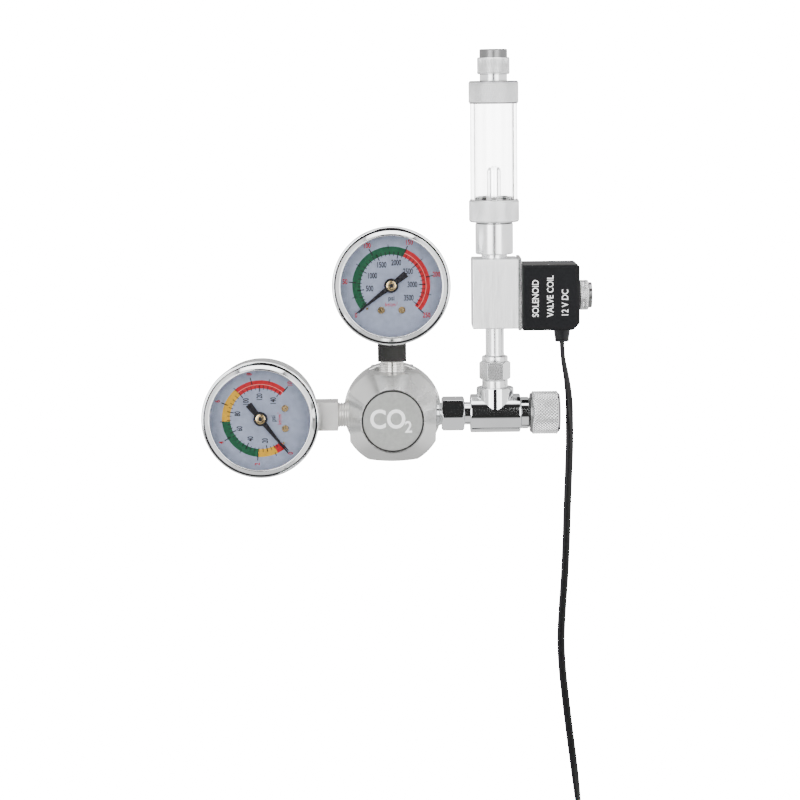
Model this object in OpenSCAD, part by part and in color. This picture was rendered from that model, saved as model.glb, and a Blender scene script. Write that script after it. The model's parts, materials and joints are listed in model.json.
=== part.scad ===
// Carbon dioxide regulator with two gauges, a needle valve, a solenoid valve and a bubble counter.
// Origin: on the body's axis, at the sealing face of the inlet. +Y points out of the inlet
// towards the cylinder, +Z is up, and the gauges and the badge face -Y. Millimetres.

/* [Body] */
// Diameter of the body bar
body_d = 38; // [37:0.5:40]
// Width across the four flats
body_flats = 33; // [32:0.5:34]
// Distance from the inlet's sealing face to the back of the body
body_back = 17; // [17:0.5:20]
// Length of the body, from its back to its nose
body_length = 33.5; // [33.5:0.5:36]
// Radius of the badge on the front cap
badge_r = 11.2; // [10.8:0.1:11.2]

/* [Inlet] */
// Width across the flats of the inlet nut
nut_flats = 28.6; // [28:0.1:30]
// Inner radius of the inlet nut's thread
nut_thread_r = 9.6; // [9.4:0.1:9.8]
// Length of the inlet nut's thread
nut_thread_length = 11.5; // [10:0.5:14]

/* [Gauges] */
// Outer diameter of a gauge's bezel
bezel_d = 45; // [45:0.5:47]
// Diameter of the dial that shows inside the bezel
dial_view_d = 38.2; // [36:0.2:38.2]
// Distance from the body's axis to the high-pressure gauge's centre
high_gauge_z = 50.5; // [50:0.5:51]
// Distance from the body's axis to the low-pressure gauge's centre
low_gauge_x = 50.5; // [50:0.5:51]
// Angle at which the pointers rest, anticlockwise from the right
pointer_rest = 218; // [216:1:219]

/* [Needle valve] */
// Width across the flats of the outlet adapter
adapter_flats = 12; // [11:0.5:13]
// Diameter of the needle valve's body
valve_d = 15; // [14.5:0.5:16]
// Diameter of the needle valve's knob
knob_d = 16.9; // [15:0.1:18]

/* [Solenoid] */
// Side of the square solenoid block
block_side = 17.5; // [17:0.5:18]
// Height of the solenoid block
block_height = 26.5; // [26:0.5:27]
// Height of the coil housing
coil_height = 25; // [24:0.5:25.5]
// Depth of the coil housing, front to back
coil_depth = 21; // [20.5:0.5:22]

/* [Bubble counter] */
// Outer diameter of the clear tube
tube_d = 17.9; // [17.5:0.1:18]
// Inner diameter of the clear tube
tube_bore_d = 14.4; // [14:0.2:15]
// Radius of the hole for the hose
hose_r = 3.1; // [2.9:0.1:3.2]

/* [Lead] */
// Diameter of the lead
lead_d = 3; // [2.6:0.2:3.2]
// Diameter of the plug's barrel
plug_barrel_d = 5.5; // [5.5:0.1:5.7]

/* [Hidden] */
$fn = 64;
eps = 0.1;
// clearance of a thread or a press fit, and of a part that turns or slides
snug = 0.05;

// places along the body's axis
back_y = -body_back;
nose_y = back_y - body_length;
flange_y = back_y - 7;
port_y = back_y - 14;
cavity_y = port_y - 6;
land_y = port_y - 2;
inlet_bore_y = port_y + 5;
cap_seat_y = nose_y + 1.3;

cavity_r = 10.5;
pressure_bore_r = 4;
inlet_bore_r = 6.25;
port_r = 4.9;
port_floor = 8.5;
feed_radius = 9.5;

// places on the outlet side
flat_x = body_flats / 2;
adapter_x = flat_x + 2.2;
valve_x = adapter_x + 11.1;
riser_x = valve_x + 9.7;
valve_end_x = valve_x + 19.4;
knob_x = valve_end_x + 3.6;
boss_top = 10.2;
boss_r = valve_d / 2 - 0.3;
block_z = 33.4;
block_top = block_z + block_height;
coil_z = 45.3;
plate_x = riser_x + block_side / 2;
plate_thickness = 1.2;
coil_x = plate_x + plate_thickness + 0.15;
coil_length = 21.8;
coil_end_x = coil_x + coil_length;
boot_x = coil_x + 15.7;
boot_z = coil_z - coil_height / 2 - 5.3;

// places up the bubble counter
base_z = block_top + 1.5;
collar_z = base_z + 12.2;
collar_height = 8.6;
tube_z = collar_z + 3.9;
tube_top = collar_z + 48.3;
cap_z = tube_top + 1;
hose_nut_z = cap_z + 6.5;

// gauge
gauge_r = bezel_d / 2;
case_r = gauge_r - 1;
shank = 11;
thread_r = 4.86;
sector_pivot = [6.36, -6.36];
screw_places = [[-3.9, -9.4], [3.9, -9.4]];
stop_place = [-9.3, -8.7];

// the lead hangs from the boot to the surface below, then turns back into a tied coil
floor_z = -182;
lead_r = lead_d / 2;
lead_route = [
    [65.3, -31, 27.5], [65.8, -31, 20.5], [67.1, -31, 13], [68, -31, 5], [68.2, -31, -4],
    [68.2, -31, -13], [67.8, -31, -24], [67.3, -31, -37], [66.9, -31, -50], [66.2, -31, -65],
    [65.3, -31, -78], [64.8, -31, -90], [65.3, -31, -101], [66.5, -31, -113], [68, -31, -126],
    [69.5, -31, -138], [70.9, -31, -150], [71.9, -31, -160], [72.4, -30.4, -168],
    [72.5, -27.6, -175], [72.5, -22.5, -179.4], [72.5, -16.5, -180.5]
];
lead_coil_centre = [49.5, -10];
lead_coil_r = [11.3, 24.2];
lead_coil_height = 6.4;
tail_angle = 160;
tail_r = 23;
tail_length = 13;
tail_z = floor_z + 4.6;

// ---- shapes that repeat ----

// local z runs along +Y from y, on the body's axis
module on_y(y) translate([0, y, 0]) rotate([-90, 0, 0]) children();
// local z runs along +X from x, on the outlet's axis
module on_x(x, z = 0) translate([x, port_y, z]) rotate([0, 90, 0]) children();
// upright on the bubble counter's axis
module on_riser(z) translate([riser_x, port_y, z]) children();

// a solid turned from a list of [radius, height]
module turned(outline) rotate_extrude() polygon(outline);

module tube(r, bore, height) difference() {
    cylinder(r = r, h = height);
    translate([0, 0, -eps]) cylinder(r = bore, h = height + 2 * eps);
}

// a cylinder with both rims chamfered
module chamfered(r, height, chamfer) turned([
    [0, 0], [r - chamfer, 0], [r, chamfer], [r, height - chamfer], [r - chamfer, height],
    [0, height]
]);

// a hexagon bar with its corners turned off at both ends
module hex_bar(flats, height) {
    corner_r = flats / sqrt(3) + 0.01;
    rim_r = flats / 2 * 0.98;
    slope = (corner_r - rim_r) * 0.58;
    intersection() {
        cylinder(r = flats / sqrt(3), h = height, $fn = 6);
        turned([
            [0, 0], [rim_r, 0], [corner_r, slope], [corner_r, height - slope],
            [rim_r, height], [0, height]
        ]);
    }
}

// ring-shaped thread grooves on a rod
module grooved(r, turns, pitch) turned(concat(
    [[0, 0]],
    [for (i = [0:turns - 1], s = [0, 0.5]) [r - (s == 0 ? 0.5 * pitch : 0), (i + s) * pitch]],
    [[r - 0.5 * pitch, turns * pitch], [0, turns * pitch]]
));

module rounded_ring(centre_r, section_r) rotate_extrude() translate([centre_r, 0])
    circle(r = section_r, $fn = 24);

function unit(v) = v / norm(v);
function along(path, i) = unit(path[min(i + 1, len(path) - 1)] - path[max(i - 1, 0)]);

// a round section of radius r carried along a path; side is a direction that it never follows
module swept(path, r, sides, side) {
    last = len(path) - 1;
    points = [
        for (i = [0:last])
            let (t = along(path, i), u = unit(cross(side, t)), v = cross(t, u))
            for (k = [0:sides - 1])
                path[i] + r * (cos(360 * k / sides) * u + sin(360 * k / sides) * v)
    ];
    walls = [
        for (i = [0:last - 1], k = [0:sides - 1])
            let (a = i * sides + k, b = i * sides + (k + 1) % sides)
            [a, a + sides, b + sides, b]
    ];
    ends = [
        [for (k = [0:sides - 1]) k],
        [for (k = [sides - 1:-1:0]) last * sides + k]
    ];
    polyhedron(points = points, faces = concat(walls, ends), convexity = 8);
}

// a compression spring that stands on the origin, with local z along it
module spring(mean_r, wire_r, height, turns) {
    steps = 16 * turns;
    rise = height - 2 * wire_r;
    swept(
        [for (i = [0:steps]) [
            mean_r * cos(i * 22.5), mean_r * sin(i * 22.5), wire_r + rise * i / steps
        ]],
        wire_r, 8, [0, 0, 1]
    );
}

// a smooth curve through the points, with a point added halfway along each span
function smooth(p) = [
    for (i = [0:len(p) - 2], half = [0, 1])
        half == 0 ? p[i]
        : (9 * (p[i] + p[i + 1]) - p[max(i - 1, 0)] - p[min(i + 2, len(p) - 1)]) / 16,
    p[len(p) - 1]
];

// ---- body and pressure-reducing parts ----

module regulator_body() color("silver") difference() {
    union() {
        on_y(flange_y) chamfered(body_d / 2, back_y - flange_y, 0.4);
        intersection() {
            on_y(nose_y) turned([
                [0, 0], [12.2, 0], [12.5, 0.4], [body_d / 2, 12.5],
                [body_d / 2, flange_y - nose_y + 1], [0, flange_y - nose_y + 1]
            ]);
            translate([-flat_x, nose_y - 1, -flat_x])
                cube([body_flats, flange_y - nose_y + 2, body_flats]);
        }
    }
    on_y(nose_y - eps) cylinder(r = badge_r + 0.5, h = cap_seat_y - nose_y + eps);
    on_y(cap_seat_y - eps) cylinder(r = cavity_r, h = cavity_y - cap_seat_y + eps);
    on_y(cavity_y - eps) cylinder(r = pressure_bore_r, h = inlet_bore_y - cavity_y + 2 * eps);
    on_y(inlet_bore_y) cylinder(r = inlet_bore_r, h = back_y - inlet_bore_y + eps);
    // gauge ports at the left and top, outlet port at the right
    for (turn = [0, 90, -90])
        translate([0, port_y, 0]) rotate([0, turn, 0]) translate([0, 0, port_floor])
            cylinder(r = port_r, h = flat_x - port_floor + eps);
    // high pressure reaches the top gauge from the inlet chamber
    translate([0, port_y, 3.5]) cylinder(r = 1.5, h = port_floor - 3.5 + eps);
    // low pressure leaves the piston chamber through a hole behind each side port
    for (side = [-1, 1])
        translate([side * feed_radius, 0, 0]) on_y(cavity_y - eps)
            cylinder(r = 1.25, h = port_y - cavity_y);
    rotate([0, 45, 0]) translate([-feed_radius, 0, 0]) {
        on_y(cavity_y - eps) cylinder(r = 1, h = back_y - cavity_y + 2 * eps);
        on_y(back_y - 3) cylinder(r = 1.9, h = 3 + eps);
    }
}

module front_cap() color("gray") on_y(nose_y - 0.1) turned([
    [0, 0], [badge_r - 0.3, 0], [badge_r, 0.3], [badge_r, 1.4], [cavity_r - snug, 1.4],
    [cavity_r - snug, 3.2], [0, 3.2]
]);

module main_spring() color("darkgray") on_y(nose_y + 3.15) spring(6, 0.8, 7, 3);

module piston() color("goldenrod") {
    on_y(cavity_y - 6.8) difference() {
        cylinder(r = cavity_r - snug, h = 4.8);
        translate([0, 0, -eps]) cylinder(r = 7.3, h = 3.5 + eps);
        translate([0, 0, 1.2]) tube(cavity_r + 1, 9, 1.6);
    }
    on_y(cavity_y - 2 - eps) cylinder(r = 1, h = 6.98 + eps);
}

module piston_oring() color("black") on_y(cavity_y - 4.8) rounded_ring(9.74, 0.7);

module seat_insert() color("ivory") on_y(cavity_y) turned([
    [1.5, 0], [pressure_bore_r - 0.02, 0], [pressure_bore_r - 0.02, 4], [2.3, 4],
    [2.1, 4.2], [1.5, 4.2]
]);

module poppet() color("dimgray") on_y(land_y + 1) intersection() {
    turned([[0, 0], [2.6, 0], [3, 0.4], [3, 1.2], [3.6, 1.8], [3.6, 5], [0, 5]]);
    translate([-3.1, -3.1, 0]) cube([6.2, 6.2, 5]);
}

module poppet_spring() color("darkgray") on_y(land_y + 6.05) spring(2.6, 0.35, 5.9, 5);

// ---- inlet ----

module inlet_nipple() color("gainsboro") on_y(inlet_bore_y) {
    end = -inlet_bore_y - 1.7;
    turned([
        [3.5, 0], [inlet_bore_r - snug, 0], [inlet_bore_r - snug, end - 5.2], [9, end - 5.2],
        [9, end - 0.6], [8.4, end], [3.05, end], [3.05, end - 8.3], [2, end - 8.3], [2, 5],
        [3.5, 5]
    ]);
}

module inlet_filter() color("peru") on_y(-9.9) chamfered(3, 7.4, 0.3);

module inlet_nut() color("gainsboro") difference() {
    on_y(-13) hex_bar(nut_flats, 13 + nut_thread_length);
    on_y(-13 - eps) cylinder(r = 6.6, h = 7);
    on_y(-7) cylinder(r = 10.6, h = 7);
    on_y(-eps) cylinder(r = nut_thread_r, h = nut_thread_length + 2 * eps);
}

module inlet_washer() color("white") on_y(-1.7) tube(8.5, 4, 1.5);

module relief_plug() color("goldenrod") rotate([0, 45, 0]) translate([-feed_radius, 0, 0]) {
    on_y(back_y) hex_bar(4.2, 2.2);
    on_y(back_y - 2.8) cylinder(r = 1.85, h = 2.8 + eps);
}

// ---- gauge, with its face towards local +z and its stem towards local -y ----

module at_high() translate([0, port_y, high_gauge_z]) rotate([90, 0, 0]) children();
module at_low() translate([-low_gauge_x, port_y, 0]) rotate([0, -90, 0]) rotate([90, 0, 0])
    children();

module gauge_case() color("silver") difference() {
    turned([
        [0, -11], [case_r - 3, -11], [case_r, -8], [case_r, 11.4], [case_r - 0.8, 11.4],
        [case_r - 0.8, -7.7], [case_r - 3.3, -10.2], [0, -10.2]
    ]);
    translate([-shank / 2 - snug, -case_r - 3, -shank / 2 - snug])
        cube([shank + 2 * snug, 8, shank + 2 * snug]);
}

module gauge_bezel() color("silver") {
    view_r = dial_view_d / 2;
    turned([
        [case_r + snug, 8], [gauge_r, 8], [gauge_r, 12.5], [gauge_r - 0.4, 13.5],
        [gauge_r - 1.3, 14], [view_r + 1.2, 14], [view_r + 0.4, 13.6], [view_r, 12.7],
        [case_r + snug, 12.7]
    ]);
}

module gauge_lens() color([0.9, 0.95, 1, 0.3]) translate([0, 0, 11.45])
    chamfered(case_r - 0.2, 1.2, 0.15);

module gauge_dial() color("lightsteelblue") difference() {
    translate([0, 0, 7.9]) cylinder(r = case_r - 1, h = 0.5);
    translate([0, 0, 7]) cylinder(r = 1.6, h = 2);
    for (place = screw_places) translate([place[0], place[1], 7]) cylinder(r = 0.75, h = 2);
    translate([stop_place[0], stop_place[1], 7]) cylinder(r = 0.42, h = 2);
}

// two screws that hold the dial to the movement, and the pin that the pointer rests on
module gauge_dial_screws() color("goldenrod") {
    for (place = screw_places) translate([place[0], place[1], 6.3]) difference() {
        union() {
            cylinder(r = 0.7, h = 2.2);
            translate([0, 0, 2.1]) chamfered(1.35, 0.7, 0.15);
        }
        translate([-2, -0.15, 2.5]) cube([4, 0.3, 1]);
    }
    translate([stop_place[0], stop_place[1], 7.9]) cylinder(r = 0.4, h = 2.2);
}

module tooth(root_r, tip_r) polygon([
    [root_r - 0.1, -0.2], [root_r, -0.19], [tip_r, -0.08], [tip_r, 0.08], [root_r, 0.19],
    [root_r - 0.1, 0.2]
]);

// the pointer, its shaft, and the 12-tooth pinion that the sector turns
module gauge_pointer() color("black") {
    translate([0, 0, 9.3]) {
        rotate(pointer_rest) linear_extrude(0.4)
            polygon([[-7.2, -1.3], [-2, -1], [2, -0.95], [16.9, -0.15], [16.9, 0.15],
                     [2, 0.95], [-2, 1], [-7.2, 1.3]]);
        chamfered(2.7, 0.6, 0.1);
        chamfered(1.9, 1.1, 0.2);
    }
    translate([0, 0, 0.7]) cylinder(r = 0.6, h = 9);
    translate([0, 0, 2.8]) linear_extrude(1.8) union() {
        circle(r = 1.2);
        for (k = [0:11]) rotate(15 + 30 * k) tooth(1.2, 1.72);
    }
}

// the threaded stem, its square shank, and the block inside the case
module gauge_socket() color("goldenrod") difference() {
    union() {
        translate([-shank / 2, -29.5, -shank / 2]) cube([shank, 12, shank]);
        translate([-5, -17.6, -5]) cube([10, 8.1, 5.5]);
        translate([0, -29.4, 0]) rotate([90, 0, 0]) grooved(thread_r, 5, 0.96);
        translate([0, -34.1, 0]) rotate([90, 0, 0]) cylinder(r = thread_r, h = 7.4);
    }
    translate([0, -42, 0]) rotate([-90, 0, 0]) cylinder(r = 1.2, h = 30);
    translate([-6, -12.5, -1]) rotate([0, 90, 0]) cylinder(r = 0.6, h = 6);
}

// the curved tube that pressure straightens, and the link that it pulls
module gauge_bourdon_tube() color("goldenrod") {
    difference() {
        rotate(-20) rotate_extrude(angle = 267) translate([12.2, -4]) square([1.6, 6]);
        rotate(-17) rotate_extrude(angle = 266) translate([12.6, -3.6]) square([0.8, 5.2]);
    }
    translate([12.2, -4.45, 1.9]) cylinder(r = 0.5, h = 1);
    translate([12.2, -4.45, 2.35]) rotate(-125.6) translate([0, -0.5, 0])
        cube([7.5, 1, 0.55]);
}

module gauge_movement() color("gold") {
    for (z = [0.5, 5.2]) difference() {
        translate([-4.8, -11, z]) cube([13.3, 14.2, 1]);
        for (place = [[0, 0], sector_pivot])
            translate([place[0], place[1], z - 1]) cylinder(r = 0.65, h = 3);
        for (place = screw_places)
            translate([place[0], place[1], 4.8]) cylinder(r = 0.72, h = 3);
    }
    for (place = [[-4, 2.3], [7.6, 2.3], [-4, -10.2]])
        translate([place[0], place[1], 1.4]) cylinder(r = 0.6, h = 3.9);
    for (place = screw_places) translate([place[0], place[1], 6.1]) tube(1.4, 0.72, 1.8);
}

// the toothed sector, with the tail that the link pulls
module gauge_sector() color("gold") translate([sector_pivot[0], sector_pivot[1], 0]) {
    translate([0, 0, 3.2]) linear_extrude(1) union() {
        polygon(concat([[0, 0]], [for (a = [76:4:140]) 7.2 * [cos(a), sin(a)]]));
        for (k = [0:10]) rotate(78 + 6 * k) tooth(7.1, 7.7);
        rotate(289) translate([0, -0.8]) square([5, 1.6]);
        circle(r = 1.3);
    }
    translate([0, 0, 0.7]) cylinder(r = 0.6, h = 5.3);
}

module high_case() at_high() gauge_case();
module high_bezel() at_high() gauge_bezel();
module high_lens() at_high() gauge_lens();
module high_dial() at_high() gauge_dial();
module high_dial_screws() at_high() gauge_dial_screws();
module high_pointer() at_high() gauge_pointer();
module high_socket() at_high() gauge_socket();
module high_bourdon_tube() at_high() gauge_bourdon_tube();
module high_movement() at_high() gauge_movement();
module high_sector() at_high() gauge_sector();
module low_case() at_low() gauge_case();
module low_bezel() at_low() gauge_bezel();
module low_lens() at_low() gauge_lens();
module low_dial() at_low() gauge_dial();
module low_dial_screws() at_low() gauge_dial_screws();
module low_pointer() at_low() gauge_pointer();
module low_socket() at_low() gauge_socket();
module low_bourdon_tube() at_low() gauge_bourdon_tube();
module low_movement() at_low() gauge_movement();
module low_sector() at_low() gauge_sector();

// ---- outlet and needle valve ----

module outlet_adapter() color("silver") difference() {
    union() {
        on_x(port_floor + 0.5) cylinder(r = thread_r, h = flat_x - port_floor - 0.5);
        on_x(flat_x) grooved(4.7, 2, 1.1);
        on_x(adapter_x) rotate(-24) hex_bar(adapter_flats, 8.8);
        on_x(adapter_x + 8.7) cylinder(r = 4.4, h = 7.8);
    }
    on_x(port_floor) cylinder(r = 1.5, h = 40);
}

module needle_valve_body() color("silver") difference() {
    union() {
        on_x(valve_x) chamfered(valve_d / 2, valve_end_x - valve_x, 0.5);
        on_riser(0) turned([
            [0, 0], [boss_r, 0], [boss_r, boss_top - 0.5], [boss_r - 0.5, boss_top],
            [0, boss_top]
        ]);
    }
    on_x(valve_x - eps) cylinder(r = 4.45, h = 5.6);
    on_x(valve_x + 5) cylinder(r = 1.2, h = 4);
    on_x(valve_x + 8) cylinder(r = 2.6, h = 8.2);
    on_x(valve_end_x - 3.7) cylinder(r = 4, h = 4);
    on_riser(1) cylinder(r = 1.5, h = 4);
    on_riser(4.2) cylinder(r = 4.05, h = 7);
    on_riser(boss_top - 0.8) cylinder(r = 5.6, h = 1);
}

module needle() color("silver") on_x(valve_x + 6.6) turned([
    [0, 0], [0.3, 0], [1.15, 1.4], [1.6, 1.45], [1.6, 4.4], [2.5, 4.4], [2.5, 7], [1.6, 7],
    [1.6, 26.2], [0, 26.2]
]);

module packing_nut() color("silver") difference() {
    union() {
        on_x(valve_end_x - 2.4) cylinder(r = 3.95, h = 3);
        on_x(valve_end_x + 0.5) chamfered(6.2, 2.9, 0.3);
    }
    on_x(valve_end_x - 3) cylinder(r = 1.65, h = 7);
}

module needle_knob() color("silver") difference() {
    on_x(knob_x) chamfered(knob_d / 2, 11.6, 0.8);
    on_x(knob_x - eps) cylinder(r = 1.63, h = 10.3);
}

module riser_fitting() color("whitesmoke") difference() {
    union() {
        on_riser(4.4) cylinder(r = 4, h = 5.5);
        on_riser(boss_top - 0.8) cylinder(r = 5, h = 3.8);
        on_riser(boss_top + 2.9) hex_bar(10.5, 7.1);
        on_riser(boss_top + 9.9) cylinder(r = 5, h = 2.3);
        on_riser(boss_top + 12.1) cylinder(r = 3.55, h = block_z - boss_top - 12.1);
        on_riser(block_z - eps) cylinder(r = 3.5, h = 4.9);
    }
    on_riser(4) cylinder(r = 1.4, h = 40);
}

// ---- solenoid ----

module solenoid_block() color("whitesmoke") difference() {
    on_riser(block_z) translate([-block_side / 2, -block_side / 2, 0])
        cube([block_side, block_side, block_height]);
    on_riser(block_z - eps) cylinder(r = 3.55, h = 5.2);
    translate([riser_x + 2.8, port_y, block_z + 4.5]) cylinder(r = 0.7, h = 4);
    // plunger chamber, around the seat
    on_x(riser_x + 3.5, coil_z) cylinder(r = 4.55, h = 6);
    on_x(riser_x + 2, coil_z) tube(4.55, 1.6, 2);
    on_x(riser_x, coil_z) cylinder(r = 0.8, h = 4);
    on_riser(coil_z - 0.8) cylinder(r = 1.2, h = 11);
    on_riser(block_top - 5.6) cylinder(r = 4.1, h = 6);
    for (y = [-6.3, 6.3], z = [block_z + 2.5, block_top - 3])
        translate([0, y, 0]) on_x(plate_x - 4.6, z) cylinder(r = 1.22, h = 5);
}

module armature_tube() color("silver") on_x(plate_x - 4.25, coil_z) turned([
    [4, 0], [4.5, 0], [4.5, 4.25], [6.5, 4.25], [6.5, 5.45], [4.5, 5.45], [4.5, 27], [3, 27],
    [3, 32], [0, 32], [0, 17.2], [4, 17.2]
]);

module plunger() color("dimgray") on_x(riser_x + 3.55, coil_z) turned([
    [0, 0], [2.5, 0], [2.5, 1], [3.95, 1], [3.95, 16.95], [2, 16.95], [2, 11.95], [0, 11.95]
]);

module plunger_spring() color("darkgray") on_x(riser_x + 15.55, coil_z) spring(1.5, 0.25, 6.1, 6);

module mounting_plate() color("silver") difference() {
    on_riser(block_z - 0.6) translate([block_side / 2, -block_side / 2, 0])
        cube([plate_thickness, block_side, block_height + 1]);
    on_x(plate_x - eps, coil_z) cylinder(r = 6.55, h = 2);
    for (y = [-6.3, 6.3], z = [block_z + 2.5, block_top - 3])
        translate([0, y, 0]) on_x(plate_x - 0.01, z) cylinder(r1 = 1.25, r2 = 2.3, h = 1.22);
}

module plate_screws() color("silver")
    for (y = [-6.3, 6.3], z = [block_z + 2.5, block_top - 3]) translate([0, y, 0]) {
        on_x(plate_x - 4.5, z) cylinder(r = 1.2, h = 4.6);
        on_x(plate_x, z) cylinder(r1 = 1.2, r2 = 2.2, h = 1.15);
    }

module coil_housing() color([0.2, 0.2, 0.22]) difference() {
    union() {
        translate([0, port_y + coil_depth / 2, 0]) rotate([90, 0, 0]) linear_extrude(coil_depth)
            polygon([
                [coil_x, coil_z - coil_height / 2], [coil_end_x - 2.5, coil_z - coil_height / 2],
                [coil_end_x, coil_z - coil_height / 2 + 2.5],
                [coil_end_x, coil_z + coil_height / 2 - 0.6],
                [coil_end_x - 0.6, coil_z + coil_height / 2], [coil_x, coil_z + coil_height / 2]
            ]);
        on_x(coil_end_x - eps, coil_z) cylinder(r = 7, h = 0.5);
    }
    on_x(coil_x - eps, coil_z) cylinder(r = 4.65, h = coil_length + 1);
    on_x(coil_x + 2.4, coil_z) cylinder(r = 9.05, h = 17);
}

module coil_winding() color("chocolate") on_x(coil_x + 2.5, coil_z) tube(9, 5.2, 16.8);

module coil_nut() color("silver") on_x(coil_end_x + 0.5, coil_z) difference() {
    union() {
        chamfered(5.9, 3.6, 0.3);
        translate([0, 0, 3.5]) chamfered(4.9, 1.3, 0.2);
    }
    translate([0, 0, -eps]) cylinder(r = 3.05, h = 4.4);
}

module cable_boot() color("black") translate([boot_x, port_y, boot_z])
    cylinder(r1 = 2.95, r2 = 3.35, h = 5.3);

// ---- lead ----

tail_start = concat(lead_coil_centre, [tail_z])
    + tail_r * [cos(tail_angle), sin(tail_angle), 0];
tail_way = [cos(tail_angle + 90), sin(tail_angle + 90), 0];
plug_start = tail_start + tail_length * tail_way;

module cord_lead() color("black") {
    swept(smooth(lead_route), lead_r, 8, [1, 0, 0]);
    swept([for (s = [0:3]) tail_start + s * tail_length / 3 * tail_way], lead_r, 8, [1, 0, 0]);
}

module cord_coil() color("black") {
    inner = lead_coil_r[0];
    outer = lead_coil_r[1];
    translate([lead_coil_centre[0], lead_coil_centre[1], floor_z]) turned([
        [inner + 1, 0], [outer - 1, 0], [outer, 1], [outer, lead_coil_height - 1],
        [outer - 1, lead_coil_height], [inner + 1, lead_coil_height],
        [inner, lead_coil_height - 1], [inner, 1]
    ]);
}

module dc_plug() color("black") translate(plug_start) rotate([0, 90, tail_angle + 90]) turned([
    [0, 0], [2, 0], [2.6, 8], [4, 8.3], [4.5, 9.5], [4.5, 24.6], [4.1, 25],
    [plug_barrel_d / 2, 25], [plug_barrel_d / 2, 34.5], [1.05, 34.5], [1.05, 26], [0, 26]
]);

// ---- bubble counter ----

// the base, with the nozzle that stands in the water
module counter_base() color("whitesmoke") on_riser(block_top - 5.4) turned([
    [1.5, 0], [4.05, 0], [4.05, 5.4], [4.9, 5.4], [4.9, 6.9], [6.9, 6.9], [7.2, 7.2],
    [7.2, 18.8], [6.9, 19.1], [5.95, 19.1], [5.95, 23.5], [3.2, 23.5], [3.2, 39], [2.2, 40],
    [1.2, 40], [1.2, 37], [2.1, 37], [2.1, 31], [1.5, 31]
]);

module check_poppet() color("dimgray") on_riser(block_top + 25.65) turned([
    [0, 0], [1.4, 0], [1.9, 0.4], [1.9, 3], [0.9, 3], [0.9, 9.2], [0, 9.2]
]);

module lower_collar() color("whitesmoke") on_riser(collar_z + snug) difference() {
    chamfered(9.7, collar_height, 0.5);
    translate([0, 0, -eps]) cylinder(r = 6, h = 4);
    translate([0, 0, 2.85]) cylinder(r = tube_d / 2 + snug, h = collar_height);
}

module counter_tube() color([0.9, 0.95, 1, 0.3]) on_riser(tube_z)
    tube(tube_d / 2, tube_bore_d / 2, tube_top - tube_z);

module upper_collar() color("whitesmoke") on_riser(cap_z - 4.5) difference() {
    chamfered(9.6, 8.6, 0.5);
    translate([0, 0, -eps]) cylinder(r = tube_d / 2 + snug, h = 6.2);
    translate([0, 0, 6]) cylinder(r = 5.3, h = 4);
}

// the flange that closes the tube, and the spigot that the hose is pushed on
module hose_cap() color("whitesmoke") on_riser(cap_z) turned([
    [1, 0], [8.8, 0], [8.8, 1.5], [5.2, 1.5], [5.2, 9.5], [1.95, 9.5], [1.7, 11.7], [1, 11.7]
]);

module hose_nut() color("whitesmoke") on_riser(hose_nut_z) difference() {
    union() {
        chamfered(6.3, 6.4, 0.3);
        translate([0, 0, 6.3]) chamfered(5.3, 3.2, 0.4);
    }
    translate([0, 0, -eps]) cylinder(r = 5.25, h = 5.5);
    translate([0, 0, 5]) cylinder(r = hose_r, h = 7);
}

// seals: round the front cap, round the needle, and at both ends of the clear tube
module o_rings() color("black") {
    on_y(nose_y + 0.2) tube(badge_r + 0.46, badge_r + 0.03, 1);
    on_x(valve_end_x - 3.3) tube(3.9, 1.65, 0.8);
    for (z = [tube_z - 0.5, tube_top + 0.5]) on_riser(z) rounded_ring(8.05, 0.45);
}

regulator_body();
front_cap();
main_spring();
piston();
piston_oring();
seat_insert();
poppet();
poppet_spring();
inlet_nipple();
inlet_filter();
inlet_nut();
inlet_washer();
relief_plug();
high_case();
high_bezel();
high_lens();
high_dial();
high_dial_screws();
high_pointer();
high_socket();
high_bourdon_tube();
high_movement();
high_sector();
low_case();
low_bezel();
low_lens();
low_dial();
low_dial_screws();
low_pointer();
low_socket();
low_bourdon_tube();
low_movement();
low_sector();
outlet_adapter();
needle_valve_body();
needle();
packing_nut();
needle_knob();
riser_fitting();
solenoid_block();
armature_tube();
plunger();
plunger_spring();
mounting_plate();
plate_screws();
coil_housing();
coil_winding();
coil_nut();
cable_boot();
cord_lead();
cord_coil();
dc_plug();
counter_base();
check_poppet();
lower_collar();
counter_tube();
upper_collar();
hose_cap();
hose_nut();
o_rings();
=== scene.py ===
import json
import math

import bmesh
import bpy
from mathutils import Matrix, Vector


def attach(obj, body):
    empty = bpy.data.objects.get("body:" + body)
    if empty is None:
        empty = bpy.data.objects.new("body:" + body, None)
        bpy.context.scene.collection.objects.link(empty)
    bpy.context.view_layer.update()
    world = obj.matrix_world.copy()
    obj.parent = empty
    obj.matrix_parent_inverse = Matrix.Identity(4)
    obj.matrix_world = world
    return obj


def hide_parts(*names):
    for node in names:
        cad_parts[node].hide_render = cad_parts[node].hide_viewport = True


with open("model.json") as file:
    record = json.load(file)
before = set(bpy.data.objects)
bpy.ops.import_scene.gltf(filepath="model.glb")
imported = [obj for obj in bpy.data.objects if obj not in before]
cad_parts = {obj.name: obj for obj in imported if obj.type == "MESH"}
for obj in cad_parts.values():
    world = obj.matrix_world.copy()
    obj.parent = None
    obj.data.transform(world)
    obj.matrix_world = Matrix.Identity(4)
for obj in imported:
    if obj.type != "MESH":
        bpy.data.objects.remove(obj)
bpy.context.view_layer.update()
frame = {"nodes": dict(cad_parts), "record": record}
MM = 0.001
scene = bpy.context.scene


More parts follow.
